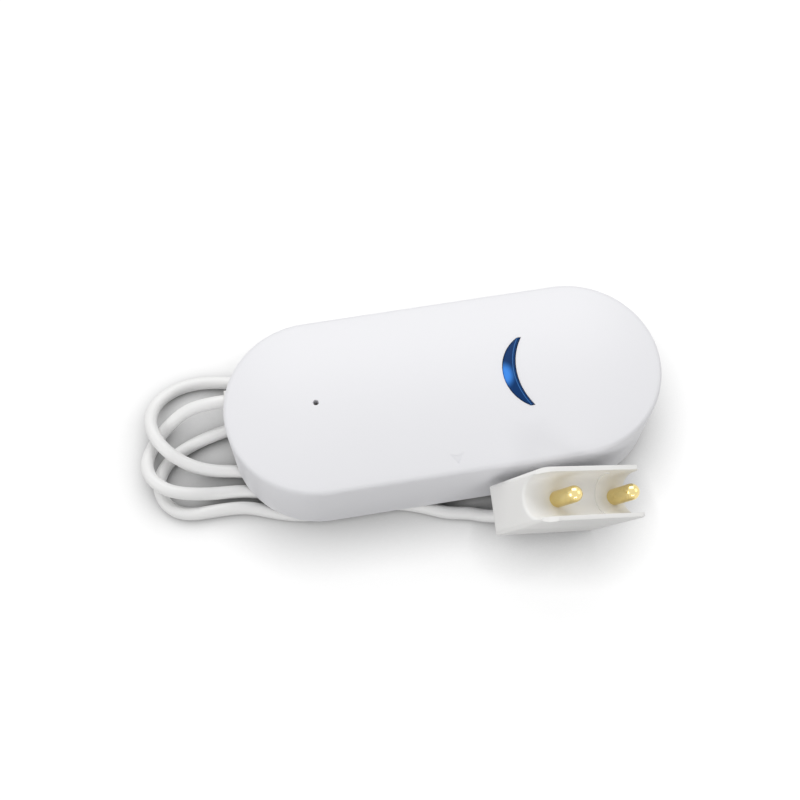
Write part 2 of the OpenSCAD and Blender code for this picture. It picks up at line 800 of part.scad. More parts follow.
module contact_pin(x) {
    dome = pin_d / 2;
    shoulder = probe_h + pin_proud - dome;
    color([0.83, 0.66, 0.3])
        probe_place()
            translate([x, 0, 0]) {
                translate([0, 0, pin_foot])
                    cylinder(d = pin_d, h = shoulder - pin_foot);
                translate([0, 0, shoulder])
                    sphere(r = dome);
                translate([0, 0, cap_t + 0.6])
                    cylinder(d = tail_d, h = pin_foot - cap_t - 0.3);
            }
}

module probe_pin_left() {
    contact_pin(pin_left);
}

module probe_pin_right() {
    contact_pin(pin_right);
}

// One unbroken cord from the gland to the probe's boot
module sensor_cord() {
    points = curve(cord_route, 3);
    lengths = length_of(points);
    echo(cord_length = lengths[len(points) - 1], cord_gap_to_itself = self_gap(points, lengths, cord_d));
    color([0.93, 0.92, 0.9])
        tube(points, cord_r, 8);
}

base_shell();
cord_gland();
battery_front();
battery_rear();
contact_bridge();
contact_plate();
spring_front();
spring_rear();
main_board();
board_screws();
wifi_module();
board_parts();
bulk_capacitor();
status_led();
reset_switch();
reset_plunger();
cord_connector();
lead_wires();
front_cover();
crescent_lens();
probe_shell();
probe_cap();
probe_seal();
probe_boot();
probe_pin_left();
probe_pin_right();
sensor_cord();
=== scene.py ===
# %% [markdown]
# # A water leak sensor, dressed in Blender
# The frame below is the measured model of a small battery sensor: a white pill-shaped case with a
# blue crescent light, a cord wound round its foot, and a gutter-shaped probe with two gold pins.
# Its solids are already the right size and in the right place, in metres. This lesson gives them
# their finishes, remakes the soft and wound pieces in a fuller form, and lights the scene.

# %% Load the measured frame
import bpy
import bmesh
import math
from mathutils import Matrix, Vector


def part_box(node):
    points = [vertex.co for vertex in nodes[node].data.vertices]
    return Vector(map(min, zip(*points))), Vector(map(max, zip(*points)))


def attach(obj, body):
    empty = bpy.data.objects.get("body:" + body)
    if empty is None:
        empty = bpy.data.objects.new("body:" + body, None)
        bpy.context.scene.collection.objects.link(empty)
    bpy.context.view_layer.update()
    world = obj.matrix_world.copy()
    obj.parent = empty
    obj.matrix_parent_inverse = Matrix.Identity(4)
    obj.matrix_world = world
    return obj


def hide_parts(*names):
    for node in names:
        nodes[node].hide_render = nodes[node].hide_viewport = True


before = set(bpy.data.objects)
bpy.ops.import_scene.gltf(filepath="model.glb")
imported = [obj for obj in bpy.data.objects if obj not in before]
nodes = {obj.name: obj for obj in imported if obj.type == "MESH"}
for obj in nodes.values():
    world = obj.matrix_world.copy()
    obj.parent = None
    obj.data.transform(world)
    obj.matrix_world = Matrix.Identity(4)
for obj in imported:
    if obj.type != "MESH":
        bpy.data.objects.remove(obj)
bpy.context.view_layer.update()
MM = 0.001

# %% [markdown]
# ## The camera
# The photograph looks down steeply on the front of the case, from a little to its left, and its
# horizon leans by five degrees. The camera is described by those angles and a distance. It is
# aimed so that the middle of the crease round the top falls where the photograph has it, which
# keeps the lens free of any shift.

# %% Make the camera
AZIMUTH, ELEVATION, LEAN = (math.radians(a) for a in (-15.17, 67.5, 5.34))
DISTANCE, FOCAL_PIXELS, FRAME_PIXELS = 0.300, 1750.0, 800.0
CREASE_MIDDLE = Vector((0, 0, 18.8 * MM))
MIDDLE_PIXEL = (443.8, 387.2)


def photo_camera():
    back = Vector((math.sin(AZIMUTH) * math.cos(ELEVATION), -math.cos(AZIMUTH) * math.cos(ELEVATION),
                   math.sin(ELEVATION)))
    flat = Vector((math.cos(AZIMUTH), math.sin(AZIMUTH), 0))
    rise = back.cross(flat)
    right = math.cos(LEAN) * flat + math.sin(LEAN) * rise
    up = -math.sin(LEAN) * flat + math.cos(LEAN) * rise
    centre = FRAME_PIXELS / 2
    ahead = -back * FOCAL_PIXELS + right * (centre - MIDDLE_PIXEL[0]) + up * (MIDDLE_PIXEL[1] - centre)
    ahead.normalize()
    right = ahead.cross(up).normalized()
    up = right.cross(ahead)
    data = bpy.data.cameras.new("photo_camera")
    data.sensor_width = 36.0
    data.lens = data.sensor_width * FOCAL_PIXELS / FRAME_PIXELS
    data.clip_start, data.clip_end = 0.01, 10.0
    camera = bpy.data.objects.new("photo_camera", data)
    bpy.context.scene.collection.objects.link(camera)
    turn = Matrix((right, up, -ahead)).transposed().to_4x4()
    camera.matrix_world = Matrix.Translation(CREASE_MIDDLE + back * DISTANCE) @ turn
    bpy.context.scene.camera = camera
    return camera


camera = photo_camera()
print("camera at", [round(v, 4) for v in camera.location], "lens", round(camera.data.lens, 2), "mm")

# %% [markdown]
# ## The cord
# The real cord is a limp white lead, 2.3 mm thick. It leaves a rubber gland at the left end, is
# wound twice round the foot under the case, lies in loose loops beyond that end and comes out at
# the front to the probe. The points are the ones that the measured model follows, in millimetres.
# A Catmull-Rom curve through them, gently relaxed so that no bend has a kink, carries a round
# bevel. A curve with a bevel is the simplest way to keep a cord exactly as thick everywhere.

# %% Lay the cord
CORD_D, LOW = 2.3, 1.3
INNER_LANE, OUTER_LANE = 7.5, 10.4
FOOT_RUN = 20
ALONG_FOOT = (-14, -4.5, 5, 14)
FROM_GLAND = [(-30.6, 9, 5.5), (-34.81, 9, 5.5), (-37.61, 9, 5.5), (-39.91, 9, 5.5)]
LOOP_TOP = [
    (-44.3, 8.9, 4.4), (-48.1, 7.4, 2.3), (-51, 4.8, 1.4), (-52.7, 1.6, 2.2), (-52.9, -1.3, 3.5),
    (-51.7, -3.9, 4.3), (-49.3, -5.8, 4.3), (-45.9, -6.6, 3.4), (-41.7, -6.7, 1.9), (-37.3, -6.8, LOW),
    (-32.9, -7.8, LOW), (-28.6, -9.3, LOW), (-24.1, -10.3, LOW),
]
LOOP_BACK = [
    (-23.6, 10.9, LOW), (-30.6, 12.7, LOW), (-36.6, 14.2, LOW), (-41.9, 15, LOW), (-46.5, 14.3, LOW),
    (-50, 11.9, 1.9), (-51.4, 8.3, 3.4), (-50.8, 4.6, 4.4), (-48.7, 1.3, 4.3), (-45.4, -1.1, 3),
    (-41.3, -2.4, 1.7), (-36.7, -3.1, LOW), (-31.5, -4.7, LOW), (-26.1, -6.7, LOW),
]
LOOP_FRONT = [
    (-25.1, 7.1, LOW), (-31.9, 6, LOW), (-38.4, 5, LOW), (-43.5, 3.7, LOW), (-47.7, 1.8, LOW),
    (-50.5, -0.9, LOW), (-51.4, -3.9, LOW), (-50.7, -6.8, LOW), (-48.6, -8.9, LOW), (-45.7, -9.7, LOW),
    (-42.1, -9.7, LOW), (-36.5, -10, LOW), (-31.1, -12, LOW), (-25.1, -13.3, LOW),
]
TO_PROBE = [
    (-14, -13.3, LOW), (-9.8, -13.7, LOW), (-5.6, -15.1, LOW), (-1.9, -16.7, LOW), (1.72, -17.42, LOW),
    (3.61, -18.07, LOW), (5.45, -18.7, 1.63), (7.09, -19.27, 2.59), (8.33, -19.69, 4.06),
    (9.73, -20.18, 6.43), (11.24, -20.7, 8.97),
]


def round_foot(y):
    """One turn round the foot: along its front, round its right end and back along its rear."""
    front = [(x, -y, LOW) for x in ALONG_FOOT]
    bend = [(FOOT_RUN + y * math.cos(a), y * math.sin(a), LOW)
            for a in (math.radians(d) for d in range(-90, 91, 30))]
    return front + bend + [(x, y, LOW) for x in reversed(ALONG_FOOT)]


CORD_ROUTE = (FROM_GLAND + LOOP_TOP + round_foot(OUTER_LANE) + LOOP_BACK + round_foot(INNER_LANE)
              + LOOP_FRONT + TO_PROBE)
print("route of", len(CORD_ROUTE), "points")


# %% Curve helpers
def through(points, steps):
    """Catmull-Rom samples through the points, in metres."""
    p = [Vector(q) * MM for q in points]
    out = []
    for i in range(len(p) - 1):
        a, b, c, d = p[max(i - 1, 0)], p[i], p[i + 1], p[min(i + 2, len(p) - 1)]
        for k in range(steps):
            t = k / steps
            out.append(0.5 * (2 * b + (c - a) * t + (2 * a - 5 * b + 4 * c - d) * t * t
                              + (3 * b - a - 3 * c + d) * t ** 3))
    return out + [p[-1]]


def relaxed(points, rounds, hold):
    """The points after some averaging with their neighbours; the ends stay where they are."""
    for _ in range(rounds):
        points = [q if i < hold or i >= len(points) - hold else (points[i - 1] + 2 * q + points[i + 1]) / 4
                  for i, q in enumerate(points)]
    return points


def bevelled_curve(name, points, radius, sides):
    data = bpy.data.curves.new(name, "CURVE")
    data.dimensions = "3D"
    data.bevel_depth = radius
    data.bevel_resolution = sides
    data.use_fill_caps = True
    spline = data.splines.new("POLY")
    spline.points.add(len(points) - 1)
    for dot, q in zip(spline.points, points):
        dot.co = (*q, 1)
    spline.use_smooth = True
    piece = bpy.data.objects.new(name + "_line", data)
    bpy.context.scene.collection.objects.link(piece)
    return as_mesh(piece, name)


def as_mesh(maker, name):
    """A plain mesh piece from what a curve or a modifier makes; the maker is removed."""
    graph = bpy.context.evaluated_depsgraph_get()
    mesh = bpy.data.meshes.new_from_object(maker.evaluated_get(graph))
    mesh.name = name
    bpy.data.objects.remove(maker)
    piece = bpy.data.objects.new(name, mesh)
    bpy.context.scene.collection.objects.link(piece)
    return piece


def path_length(points):
    return sum((b - a).length for a, b in zip(points, points[1:]))


# %% Make the cord
cord_line = relaxed(through(CORD_ROUTE, 10), 14, 12)
cord = bevelled_curve("cord", cord_line, CORD_D / 2 * MM, 5)
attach(cord, "base")
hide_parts("sensor_cord")
print("cord", round(path_length(cord_line), 4), "m,", len(cord.data.polygons), "faces")

# %% [markdown]
# ## Smooth shading for the measured solids
# The solids arrive as loose triangles, so every facet would catch the light by itself. A small
# Geometry Nodes tree merges the shared corners and smooths every edge that is nearly flat, while
# true edges stay crisp. It is a modifier, so the measured mesh under it is never touched.

# %% Merge and smooth
def smooth_tree():
    tree = bpy.data.node_groups.new("smooth_solid", "GeometryNodeTree")
    tree.interface.new_socket("Solid", in_out="INPUT", socket_type="NodeSocketGeometry")
    tree.interface.new_socket("Merge distance", in_out="INPUT", socket_type="NodeSocketFloat")
    tree.interface.new_socket("Sharp angle", in_out="INPUT", socket_type="NodeSocketFloat")
    tree.interface.new_socket("Solid", in_out="OUTPUT", socket_type="NodeSocketGeometry")
    n, link = tree.nodes, tree.links
    start, end = n.new("NodeGroupInput"), n.new("NodeGroupOutput")
    merge = n.new("GeometryNodeMergeByDistance")
    angle = n.new("GeometryNodeInputMeshEdgeAngle")
    flat = n.new("FunctionNodeCompare")
    flat.operation = "LESS_THAN"
    faces = n.new("GeometryNodeSetShadeSmooth")
    edges = n.new("GeometryNodeSetShadeSmooth")
    edges.domain = "EDGE"
    link.new(start.outputs["Solid"], merge.inputs["Geometry"])
    link.new(start.outputs["Merge distance"], merge.inputs["Distance"])
    link.new(merge.outputs[0], faces.inputs["Geometry"])
    link.new(faces.outputs[0], edges.inputs["Geometry"])
    link.new(angle.outputs["Unsigned Angle"], flat.inputs[0])
    link.new(start.outputs["Sharp angle"], flat.inputs[1])
    link.new(flat.outputs[0], edges.inputs["Shade Smooth"])
    link.new(edges.outputs[0], end.inputs["Solid"])
    return tree


def set_input(modifier, name, value):
    """A modifier's input is known by its socket's identifier."""
    for item in modifier.node_group.interface.items_tree:
        if item.in_out == "INPUT" and item.name == name:
            modifier[item.identifier] = value


smoothing = smooth_tree()
for solid in nodes.values():
    modifier = solid.modifiers.new("smooth", "NODES")
    modifier.node_group = smoothing
    set_input(modifier, "Merge distance", 2e-6)
    set_input(modifier, "Sharp angle", math.radians(32))
print("smoothed", len(nodes), "solids")

# %% [markdown]
# ## Shared effects for the finishes
# Two effects turn up in almost every finish. A moulded skin has a very fine grain, a slow drift in
# tone and a roughness that is never quite even. Metal shows faint drawn streaks along one
# direction. Each is a shader node group with named inputs, built once and placed where needed.

# %% Build the skin group
def socket(tree, name, kind, way, value=None):
    made = tree.interface.new_socket(name, in_out=way, socket_type=kind)
    if value is not None:
        made.default_value = value
    return made


def skin_group():
    tree = bpy.data.node_groups.new("moulded_skin", "ShaderNodeTree")
    socket(tree, "Colour", "NodeSocketColor", "INPUT", (0.8, 0.8, 0.8, 1))
    socket(tree, "Deep colour", "NodeSocketColor", "INPUT", (0.7, 0.7, 0.7, 1))
    socket(tree, "Grain per metre", "NodeSocketFloat", "INPUT", 3000.0)
    socket(tree, "Drift per metre", "NodeSocketFloat", "INPUT", 40.0)
    socket(tree, "Low roughness", "NodeSocketFloat", "INPUT", 0.35)
    socket(tree, "High roughness", "NodeSocketFloat", "INPUT", 0.45)
    socket(tree, "Colour", "NodeSocketColor", "OUTPUT")
    socket(tree, "Roughness", "NodeSocketFloat", "OUTPUT")
    socket(tree, "Height", "NodeSocketFloat", "OUTPUT")
    n, link = tree.nodes, tree.links
    start, end = n.new("NodeGroupInput"), n.new("NodeGroupOutput")
    place = n.new("ShaderNodeTexCoord")
    grain, drift = n.new("ShaderNodeTexNoise"), n.new("ShaderNodeTexNoise")
    grain.inputs["Detail"].default_value = 3.0
    drift.inputs["Detail"].default_value = 2.0
    tone = n.new("ShaderNodeMix")
    tone.data_type = "RGBA"
    rough = n.new("ShaderNodeMapRange")
    both = n.new("ShaderNodeMath")
    both.operation = "MULTIPLY_ADD"
    both.inputs[1].default_value = 0.35
    for noise, size in ((grain, "Grain per metre"), (drift, "Drift per metre")):
        link.new(place.outputs["Object"], noise.inputs["Vector"])
        link.new(start.outputs[size], noise.inputs["Scale"])
    link.new(drift.outputs["Fac"], tone.inputs["Factor"])
    link.new(start.outputs["Deep colour"], tone.inputs["A"])
    link.new(start.outputs["Colour"], tone.inputs["B"])
    link.new(grain.outputs["Fac"], both.inputs[0])
    link.new(drift.outputs["Fac"], both.inputs[2])
    link.new(both.outputs[0], rough.inputs["Value"])
    rough.inputs["From Min"].default_value = 0.3
    rough.inputs["From Max"].default_value = 1.0
    link.new(start.outputs["Low roughness"], rough.inputs["To Min"])
    link.new(start.outputs["High roughness"], rough.inputs["To Max"])
    link.new(tone.outputs["Result"], end.inputs["Colour"])
    link.new(rough.outputs["Result"], end.inputs["Roughness"])
    link.new(grain.outputs["Fac"], end.inputs["Height"])
    return tree


moulded_skin = skin_group()
print("group", moulded_skin.name)


# %% Build the streak group
def streak_group():
    tree = bpy.data.node_groups.new("drawn_streaks", "ShaderNodeTree")
    socket(tree, "Colour", "NodeSocketColor", "INPUT", (0.7, 0.7, 0.7, 1))
    socket(tree, "Deep colour", "NodeSocketColor", "INPUT", (0.6, 0.6, 0.6, 1))
    socket(tree, "Stretch", "NodeSocketVector", "INPUT", (200.0, 3000.0, 3000.0))
    socket(tree, "Low roughness", "NodeSocketFloat", "INPUT", 0.2)
    socket(tree, "High roughness", "NodeSocketFloat", "INPUT", 0.4)
    socket(tree, "Colour", "NodeSocketColor", "OUTPUT")
    socket(tree, "Roughness", "NodeSocketFloat", "OUTPUT")
    socket(tree, "Height", "NodeSocketFloat", "OUTPUT")
    n, link = tree.nodes, tree.links
    start, end = n.new("NodeGroupInput"), n.new("NodeGroupOutput")
    place = n.new("ShaderNodeTexCoord")
    scale = n.new("ShaderNodeVectorMath")
    scale.operation = "MULTIPLY"
    streak = n.new("ShaderNodeTexNoise")
    streak.inputs["Scale"].default_value = 1.0
    streak.inputs["Detail"].default_value = 4.0
    tone = n.new("ShaderNodeMix")
    tone.data_type = "RGBA"
    rough = n.new("ShaderNodeMapRange")
    rough.inputs["From Min"].default_value = 0.3
    rough.inputs["From Max"].default_value = 0.7
    link.new(place.outputs["Object"], scale.inputs[0])
    link.new(start.outputs["Stretch"], scale.inputs[1])
    link.new(scale.outputs[0], streak.inputs["Vector"])
    link.new(streak.outputs["Fac"], tone.inputs["Factor"])
    link.new(start.outputs["Deep colour"], tone.inputs["A"])
    link.new(start.outputs["Colour"], tone.inputs["B"])
    link.new(streak.outputs["Fac"], rough.inputs["Value"])
    link.new(start.outputs["Low roughness"], rough.inputs["To Min"])
    link.new(start.outputs["High roughness"], rough.inputs["To Max"])
    link.new(tone.outputs["Result"], end.inputs["Colour"])
    link.new(rough.outputs["Result"], end.inputs["Roughness"])
    link.new(streak.outputs["Fac"], end.inputs["Height"])
    return tree


drawn_streaks = streak_group()
print("group", drawn_streaks.name)

# %% [markdown]
# ## Plain finishes
# Most pieces are moulded plastic, rubber or plated metal. One helper sets up a Principled shader,
# places the right group and wires its colour, roughness and a faint bump. What stays the same
# over the whole piece, such as metalness or a clear coat, is typed on the shader itself.

# %% Make the finishes
def finish_material(name, group, values, bump, **plain):
    made = bpy.data.materials.new(name)
    made.use_nodes = True
    n, link = made.node_tree.nodes, made.node_tree.links
    shader = n["Principled BSDF"]
    skin = n.new("ShaderNodeGroup")
    skin.node_tree = group
    for key, value in values.items():
        skin.inputs[key].default_value = value
    link.new(skin.outputs["Colour"], shader.inputs["Base Color"])
    link.new(skin.outputs["Roughness"], shader.inputs["Roughness"])
    if bump:
        relief = n.new("ShaderNodeBump")
        relief.inputs["Strength"].default_value = 0.35
        relief.inputs["Distance"].default_value = bump
        link.new(skin.outputs["Height"], relief.inputs["Height"])
        link.new(relief.outputs["Normal"], shader.inputs["Normal"])
    for key, value in plain.items():
        shader.inputs[key.replace("_", " ")].default_value = value
    return made


def plastic(name, colour, deep, low, high, grain=3000.0, drift=40.0, bump=4e-6, **plain):
    return finish_material(name, moulded_skin, {
        "Colour": (*colour, 1), "Deep colour": (*deep, 1), "Grain per metre": grain, "Drift per metre": drift,
        "Low roughness": low, "High roughness": high}, bump, **plain)


def metal(name, colour, deep, low, high, stretch=(300.0, 3000.0, 3000.0), bump=1e-6, **plain):
    return finish_material(name, drawn_streaks, {
        "Colour": (*colour, 1), "Deep colour": (*deep, 1), "Stretch": stretch,
        "Low roughness": low, "High roughness": high}, bump, Metallic=1.0, **plain)


case_white = plastic("case_white", (0.84, 0.84, 0.865), (0.815, 0.815, 0.84), 0.36, 0.46)
probe_white = plastic("probe_white", (0.905, 0.9, 0.885), (0.875, 0.868, 0.848), 0.36, 0.46)
rubber_white = plastic("rubber_white", (0.8, 0.8, 0.785), (0.76, 0.76, 0.74), 0.5, 0.62, grain=2200.0)
cord_white = plastic("cord_white", (0.905, 0.903, 0.897), (0.87, 0.868, 0.86), 0.34, 0.46,
                     grain=1600.0, drift=90.0)
plunger_cream = plastic("plunger_cream", (0.78, 0.73, 0.6), (0.7, 0.65, 0.52), 0.35, 0.45)
connector_cream = plastic("connector_cream", (0.84, 0.79, 0.66), (0.78, 0.73, 0.6), 0.35, 0.5)
resin_dark = plastic("resin_dark", (0.06, 0.055, 0.05), (0.03, 0.028, 0.026), 0.15, 0.3, drift=200.0)
led_clear = plastic("led_clear", (0.88, 0.87, 0.7), (0.8, 0.76, 0.5), 0.12, 0.2, drift=600.0, Coat_Weight=0.6)
pin_gold = metal("pin_gold", (0.90, 0.75, 0.36), (0.80, 0.63, 0.26), 0.07, 0.15, stretch=(900.0, 900.0, 250.0))
contact_steel = metal("contact_steel", (0.72, 0.71, 0.67), (0.6, 0.59, 0.55), 0.22, 0.4)
screw_steel = metal("screw_steel", (0.62, 0.62, 0.64), (0.48, 0.48, 0.5), 0.25, 0.42,
                    stretch=(1500.0, 1500.0, 1500.0))
print("finishes", len(bpy.data.materials))

# %% [markdown]
# ## Finishes in zones
# Some solids are several materials in one: a battery has steel ends and a plastic sleeve, a radio
# module has a metal can on a dark plate. They could be cut apart, but a mask does it without
# touching the mesh. The group says whether a point lies in a box of Object coordinates. The pieces
# here are alike on both sides of the middle, so the box is given for one half and y is folded.

# %% Build the zone mask
def zone_group():
    tree = bpy.data.node_groups.new("box_zone", "ShaderNodeTree")
    socket(tree, "Low corner", "NodeSocketVector", "INPUT")
    socket(tree, "High corner", "NodeSocketVector", "INPUT")
    socket(tree, "Inside", "NodeSocketFloat", "OUTPUT")
    n, link = tree.nodes, tree.links
    start, end = n.new("NodeGroupInput"), n.new("NodeGroupOutput")
    place = n.new("ShaderNodeTexCoord")
    apart, fold, again = n.new("ShaderNodeSeparateXYZ"), n.new("ShaderNodeMath"), n.new("ShaderNodeCombineXYZ")
    fold.operation = "ABSOLUTE"
    above, below, least = (n.new("ShaderNodeVectorMath") for _ in range(3))
    above.operation = below.operation = "SUBTRACT"
    least.operation = "MINIMUM"
    split = n.new("ShaderNodeSeparateXYZ")
    first, second, inside = (n.new("ShaderNodeMath") for _ in range(3))
    first.operation = second.operation = "MINIMUM"
    inside.operation = "GREATER_THAN"
    inside.inputs[1].default_value = 0.0
    link.new(place.outputs["Object"], apart.inputs[0])
    link.new(apart.outputs["Y"], fold.inputs[0])
    link.new(apart.outputs["X"], again.inputs["X"])
    link.new(fold.outputs[0], again.inputs["Y"])
    link.new(apart.outputs["Z"], again.inputs["Z"])
    link.new(again.outputs[0], above.inputs[0])
    link.new(start.outputs["Low corner"], above.inputs[1])
    link.new(start.outputs["High corner"], below.inputs[0])
    link.new(again.outputs[0], below.inputs[1])
    link.new(above.outputs[0], least.inputs[0])
    link.new(below.outputs[0], least.inputs[1])
    link.new(least.outputs[0], split.inputs[0])
    link.new(split.outputs["X"], first.inputs[0])
    link.new(split.outputs["Y"], first.inputs[1])
    link.new(first.outputs[0], second.inputs[0])
    link.new(split.outputs["Z"], second.inputs[1])
    link.new(second.outputs[0], inside.inputs[0])
    link.new(inside.outputs[0], end.inputs["Inside"])
    return tree


box_zone = zone_group()
print("group", box_zone.name)


# %% A finish in zones
STEEL = ((0.66, 0.655, 0.62), (0.52, 0.515, 0.48), 0.22, 0.38, 1.0)
TIN = ((0.72, 0.72, 0.71), (0.6, 0.6, 0.58), 0.28, 0.42, 1.0)


def zoned(name, ground, zones, drift=60.0, **plain):
    """A ground finish with boxes of other finishes over it: colour, deep colour, roughness, metal."""
    made = bpy.data.materials.new(name)
    made.use_nodes = True
    n, link = made.node_tree.nodes, made.node_tree.links
    shader = n["Principled BSDF"]

    def skin(finish):
        placed = n.new("ShaderNodeGroup")
        placed.node_tree = moulded_skin
        colour, deep, low, high, _ = finish
        for key, value in (("Colour", (*colour, 1)), ("Deep colour", (*deep, 1)), ("Low roughness", low),
                           ("High roughness", high), ("Drift per metre", drift)):
            placed.inputs[key].default_value = value
        return placed

    under = skin(ground)
    colour, rough, metalness = under.outputs["Colour"], under.outputs["Roughness"], None
    for low, high, finish in zones:
        mask = n.new("ShaderNodeGroup")
        mask.node_tree = box_zone
        mask.inputs["Low corner"].default_value = [v * MM for v in low]
        mask.inputs["High corner"].default_value = [v * MM for v in high]
        over = skin(finish)
        tint, coarse, bare = n.new("ShaderNodeMix"), n.new("ShaderNodeMix"), n.new("ShaderNodeMix")
        tint.data_type = "RGBA"
        for mix in (tint, coarse, bare):
            link.new(mask.outputs["Inside"], mix.inputs["Factor"])
        link.new(colour, tint.inputs["A"])
        link.new(over.outputs["Colour"], tint.inputs["B"])
        link.new(rough, coarse.inputs["A"])
        link.new(over.outputs["Roughness"], coarse.inputs["B"])
        bare.inputs["A"].default_value = ground[4]
        bare.inputs["B"].default_value = finish[4]
        if metalness is not None:
            link.new(metalness, bare.inputs["A"])
        colour, rough, metalness = tint.outputs["Result"], coarse.outputs["Result"], bare.outputs["Result"]
    link.new(colour, shader.inputs["Base Color"])
    link.new(rough, shader.inputs["Roughness"])
    link.new(metalness, shader.inputs["Metallic"])
    relief = n.new("ShaderNodeBump")
    relief.inputs["Strength"].default_value = 0.3
    relief.inputs["Distance"].default_value = 3e-6
    link.new(under.outputs["Height"], relief.inputs["Height"])
    link.new(relief.outputs["Normal"], shader.inputs["Normal"])
    for key, value in plain.items():
        shader.inputs[key.replace("_", " ")].default_value = value
    return made


# %% Make the zoned finishes
FAR = 100
SLEEVE = ((0.055, 0.075, 0.1), (0.045, 0.062, 0.085), 0.2, 0.3, 0.0)
BAND = ((0.5, 0.51, 0.52), (0.44, 0.45, 0.46), 0.2, 0.3, 0.0)
PLATE = ((0.02, 0.032, 0.045), (0.014, 0.024, 0.034), 0.3, 0.42, 0.0)
BLACK = ((0.03, 0.03, 0.032), (0.02, 0.02, 0.021), 0.45, 0.6, 0.0)
CERAMIC = ((0.36, 0.27, 0.19), (0.28, 0.2, 0.14), 0.4, 0.5, 0.0)


def slab(x0, x1):
    return (x0, 0, -FAR), (x1, FAR, FAR)


def layer(z0, z1):
    return (-FAR, 0, z0), (FAR, FAR, z1)


cell_front = zoned("cell_wrap", SLEEVE, [(*slab(13, 21.8), BAND), (*slab(-FAR, -20.6), STEEL),
                                          (*slab(21.8, FAR), STEEL)])
cell_rear = zoned("cell_wrap_rear", SLEEVE, [(*slab(-25, -16.2), BAND), (*slab(-FAR, -25), STEEL),
                                             (*slab(17.4, FAR), STEEL)])
module_can = zoned("module_can", PLATE, [((-15, 0, 16.72), (-2.7, 7, 19), TIN)])
chip_black = zoned("chip_black", BLACK, [((18, 4.2, 15), (21, 8, 18), CERAMIC),
                                         ((18, 4.2, 15), (19.0, 8, 18), TIN),
                                         ((19.68, 4.2, 15), (21, 8, 18), TIN)], drift=200.0)
capacitor = zoned("capacitor_sleeve", BLACK, [(*layer(-FAR, 7.3), TIN)])
switch = zoned("switch_frame", BLACK, [(*layer(16.7, 17.2), STEEL)])
print("zoned finishes", [m.name for m in (cell_front, cell_rear, module_can, chip_black, capacitor, switch)])

# %% [markdown]
# ## The blue crescent
# The light is a glossy domed window of deep blue resin, and both horns are almost navy. A patch of
# painted light makes its middle bright blue, as if a lamp shone through from below: a soft oval in
# Object coordinates, fed to the base colour and, faintly, to an emission, so the window glows though
# it is no lamp. The edge of the window gets a narrow bevel, and a paler line along its inner edge is
# a painted highlight: a ring round the centre of that edge's circle, in millimetres.

# %% Make the lens finish
def lens_material(middle, reach, inner_edge):
    made = bpy.data.materials.new("lens_blue")
    made.use_nodes = True
    n, link = made.node_tree.nodes, made.node_tree.links
    shader = n["Principled BSDF"]
    skin = n.new("ShaderNodeGroup")
    skin.node_tree = moulded_skin
    for key, value in (("Colour", (0.009, 0.05, 0.175, 1)), ("Deep colour", (0.006, 0.034, 0.125, 1)),
                       ("Grain per metre", 900.0), ("Drift per metre", 220.0), ("Low roughness", 0.2),
                       ("High roughness", 0.3)):
        skin.inputs[key].default_value = value
    place = n.new("ShaderNodeTexCoord")
    # Painted light: a soft bright blue oval round the given middle goes into the base colour and into a faint
    # emission, as if lit from below.
    shift, size = n.new("ShaderNodeVectorMath"), n.new("ShaderNodeVectorMath")
    shift.operation, size.operation = "SUBTRACT", "MULTIPLY"
    shift.inputs[1].default_value = [v * MM for v in middle]
    size.inputs[1].default_value = [1 / (v * MM) for v in reach[:2]] + [0]
    away, near = n.new("ShaderNodeVectorMath"), n.new("ShaderNodeMapRange")
    away.operation = "LENGTH"
    near.interpolation_type = "SMOOTHSTEP"
    near.inputs["From Min"].default_value, near.inputs["From Max"].default_value = 1.0, 0.25
    tint, glow = n.new("ShaderNodeMix"), n.new("ShaderNodeMix")
    tint.data_type = glow.data_type = "RGBA"
    tint.inputs["B"].default_value = (0.055, 0.25, 0.76, 1)
    glow.inputs["A"].default_value = (0, 0, 0, 1)
    glow.inputs["B"].default_value = (0.05, 0.25, 0.8, 1)
    link.new(place.outputs["Object"], shift.inputs[0])
    link.new(shift.outputs[0], size.inputs[0])
    link.new(size.outputs[0], away.inputs[0])
    link.new(away.outputs["Value"], near.inputs["Value"])
    for mix in (tint, glow):
        link.new(near.outputs["Result"], mix.inputs["Factor"])
    link.new(skin.outputs["Colour"], tint.inputs["A"])
    # Painted highlight: a paler ring along the inner edge of the window, where its bevel would catch the
    # light.
    edge_shift, edge_away = n.new("ShaderNodeVectorMath"), n.new("ShaderNodeVectorMath")
    edge_shift.operation, edge_away.operation = "MULTIPLY_ADD", "LENGTH"
    edge_shift.inputs[1].default_value = (1, 1, 0)
    edge_shift.inputs[2].default_value = (-inner_edge[0] * MM, 0, 0)
    edge, line = n.new("ShaderNodeMath"), n.new("ShaderNodeMix")
    edge.operation = "COMPARE"
    edge.inputs[1].default_value = (inner_edge[1] + 0.42) * MM
    edge.inputs[2].default_value = 0.06 * MM
    line.data_type = "RGBA"
    line.inputs["B"].default_value = (0.05, 0.17, 0.44, 1)
    link.new(place.outputs["Object"], edge_shift.inputs[0])
    link.new(edge_shift.outputs[0], edge_away.inputs[0])
    link.new(edge_away.outputs["Value"], edge.inputs[0])
    link.new(edge.outputs[0], line.inputs["Factor"])
    link.new(tint.outputs["Result"], line.inputs["A"])
    link.new(line.outputs["Result"], shader.inputs["Base Color"])
    link.new(glow.outputs["Result"], shader.inputs["Emission Color"])
    link.new(skin.outputs["Roughness"], shader.inputs["Roughness"])
    shader.inputs["Emission Strength"].default_value = 0.12
    shader.inputs["Specular IOR Level"].default_value = 0.06
    return made


INNER_EDGE = (23.69, 11.19)
lens_low, lens_high = (v * 1000 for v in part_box("crescent_lens"))
lens_blue = lens_material((lens_low[0] + 0.9, -0.3, 0), (1.9, 2.8), INNER_EDGE)
print("crescent from", [round(v, 2) for v in lens_low], "to", [round(v, 2) for v in lens_high])

